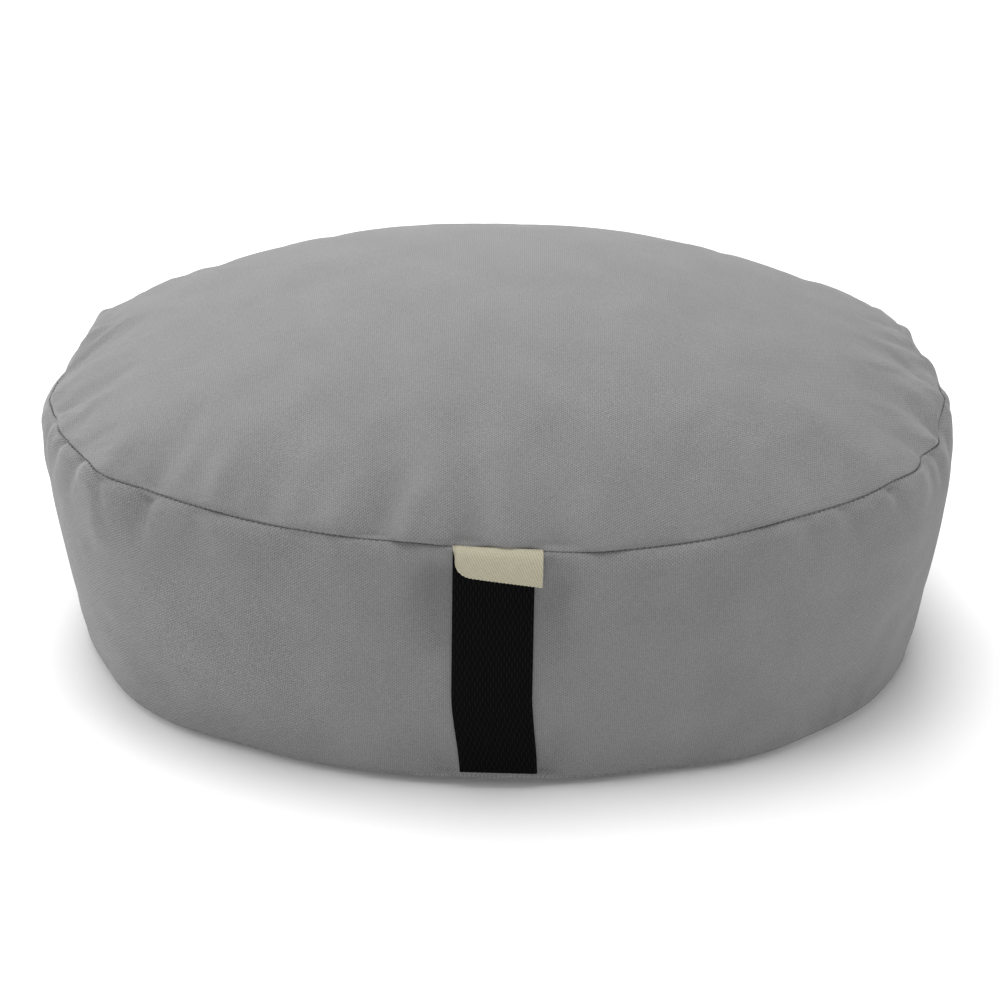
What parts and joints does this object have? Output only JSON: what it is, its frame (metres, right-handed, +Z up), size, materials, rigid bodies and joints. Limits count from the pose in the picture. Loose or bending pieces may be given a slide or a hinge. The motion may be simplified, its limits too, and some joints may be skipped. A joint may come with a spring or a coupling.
{
  "type": "zafu meditation cushion",
  "caption": "Oval floor cushion for seated meditation, with a domed top, an upright sewn side band and a webbing carry strap at the front.",
  "frame": {"origin": "the middle of the flat face that the cushion rests on", "axes": "+X along the long side, +Y towards the back, away from the strap, +Z up"},
  "size_m": [0.4544, 0.3582, 0.1885],
  "materials": {
    "canvas": "matt grey cotton canvas",
    "webbing": "black woven webbing",
    "woven_tape": "undyed cream herringbone tape"
  },
  "bodies": {
    "root": {"cushion": "canvas", "strap": "webbing", "label": "woven_tape"}
  },
  "joints": []
}
